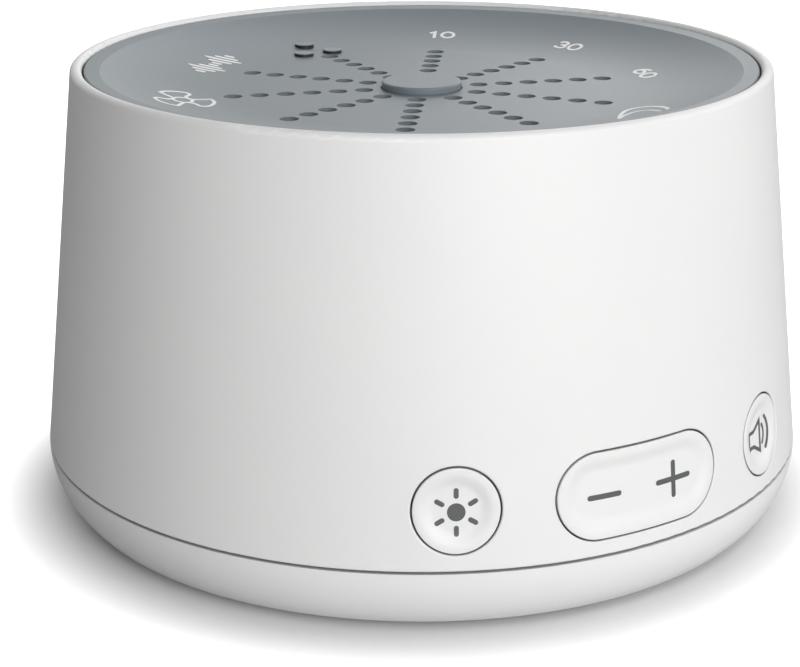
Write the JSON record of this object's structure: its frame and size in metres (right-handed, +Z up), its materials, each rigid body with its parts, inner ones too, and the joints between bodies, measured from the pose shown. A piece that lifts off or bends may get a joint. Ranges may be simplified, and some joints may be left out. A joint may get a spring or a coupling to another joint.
{
  "type": "sleep aid light",
  "caption": "Round table-top sleep aid with a tapered white shell, grey grille dish, front keys and an opal night-light ring round its foot.",
  "frame": {"origin": "middle of the footprint, on the table under the rubber feet", "axes": "+Z up through the grille's middle; -Y is the front, where the volume key is; +X is to the right seen from the front"},
  "size_m": [0.11, 0.11, 0.0634],
  "materials": {
    "white_abs": "fine satin moulded",
    "grey_abs": "fine satin moulded",
    "opal_pmma": "satin opal, lets light through",
    "smoke_pipe": "clear tinted rod",
    "black_abs": "moulded",
    "chip_epoxy": "moulded epoxy",
    "foot_rubber": "matt",
    "speaker_foam": "closed-cell foam",
    "speaker_surround_foam": "rolled foam",
    "zinc_steel": "zinc plated",
    "pressed_steel": "zinc plated pressing",
    "ferrite": "sintered",
    "paper_cone": "pressed paper",
    "spider_cloth": "impregnated cotton",
    "copper_coil": "enamelled copper wire",
    "green_board": "solder mask",
    "white_board": "white solder mask",
    "lamp_resin": "phosphor resin",
    "nylon": "moulded",
    "lead_pvc": "soft PVC",
    "capacitor_can": "can",
    "cell_pouch": "laminated foil"
  },
  "bodies": {
    "housing": {"amplifier_chip": "chip_epoxy", "battery_cell": "cell_pouch", "battery_lead": "lead_pvc", "battery_tape": "speaker_foam", "board_capacitors": "capacitor_can", "board_sockets": "nylon", "bottom_cover": "white_abs", "charging_chip": "chip_epoxy", "charging_coil": "chip_epoxy", "dish_screws": "zinc_steel", "indicator_board": "white_board", "indicator_board_screws": "zinc_steel", "indicator_lamps": "lamp_resin", "indicator_lead": "lead_pvc", "inlet_shell": "pressed_steel", "inlet_tongue": "nylon", "key_carrier": "white_abs", "key_carrier_screws": "zinc_steel", "key_switches": "black_abs", "lead_plugs": "nylon", "light_board": "white_board", "light_board_lead": "lead_pvc", "light_pipe_collars": "black_abs", "light_pipes": "smoke_pipe", "light_ring": "opal_pmma", "long_screws": "zinc_steel", "main_board": "green_board", "main_board_screws": "zinc_steel", "power_board": "green_board", "power_board_ribbon": "lead_pvc", "power_board_screws": "zinc_steel", "power_switch": "black_abs", "processor_chip": "chip_epoxy", "ring_lamps": "lamp_resin", "rubber_feet": "foot_rubber", "sound_memory_chip": "chip_epoxy", "speaker_basket": "pressed_steel", "speaker_gasket": "speaker_foam", "speaker_lead": "lead_pvc", "speaker_magnet": "ferrite", "speaker_screws": "zinc_steel", "speaker_spider": "spider_cloth", "speaker_surround": "speaker_surround_foam", "speaker_terminal": "green_board", "speaker_top_plate": "pressed_steel", "speaker_yoke": "pressed_steel", "top_dish": "grey_abs", "upper_housing": "white_abs"},
    "power_key": {"power_key": "grey_abs", "power_switch_plunger": "black_abs"},
    "light_key": {"light_key": "white_abs", "light_switch_plunger": "black_abs"},
    "sound_key": {"sound_key": "white_abs", "sound_switch_plunger": "black_abs"},
    "volume_rocker": {"volume_rocker": "white_abs"},
    "minus_plunger": {"minus_switch_plunger": "black_abs"},
    "plus_plunger": {"plus_switch_plunger": "black_abs"},
    "speaker_cone": {"speaker_cone": "paper_cone", "speaker_voice_coil": "copper_coil", "speaker_dust_cap": "paper_cone"}
  },
  "joints": [
    {"name": "power_key_press", "type": "slide", "parent": "housing", "child": "power_key", "axis": [0, 0, -1], "range_m": [0, 0.0005], "stiffness_N_per_m": 3000},
    {"name": "light_key_press", "type": "slide", "parent": "housing", "child": "light_key", "axis": [0.4524, 0.8918, 0], "range_m": [0, 0.0005], "stiffness_N_per_m": 3000},
    {"name": "sound_key_press", "type": "slide", "parent": "housing", "child": "sound_key", "axis": [-0.4524, 0.8918, 0], "range_m": [0, 0.0005], "stiffness_N_per_m": 3000},
    {"name": "volume_rocker_tilt", "type": "hinge", "parent": "housing", "child": "volume_rocker", "pos_m": [0, -0.04921, 0.0174], "axis": [0, 0, 1], "range_deg": [-1.8, 1.8], "stiffness_Nm_per_rad": 0.25},
    {"name": "plus_plunger_slide", "type": "slide", "parent": "housing", "child": "plus_plunger", "axis": [0, 1, 0], "range_m": [-0.00023, 0.00023]},
    {"name": "minus_plunger_slide", "type": "slide", "parent": "housing", "child": "minus_plunger", "axis": [0, 1, 0], "range_m": [-0.00023, 0.00023]},
    {"name": "speaker_cone_stroke", "type": "slide", "parent": "housing", "child": "speaker_cone", "axis": [0, 0, 1], "range_m": [-0.0006, 0.0006], "stiffness_N_per_m": 1500, "deforming": ["speaker_surround", "speaker_spider"]}
  ],
  "couplings": [
    {"joint": "plus_plunger_slide", "follows": "volume_rocker_tilt", "m_per_rad": 0.0065},
    {"joint": "minus_plunger_slide", "follows": "volume_rocker_tilt", "m_per_rad": -0.0065}
  ]
}
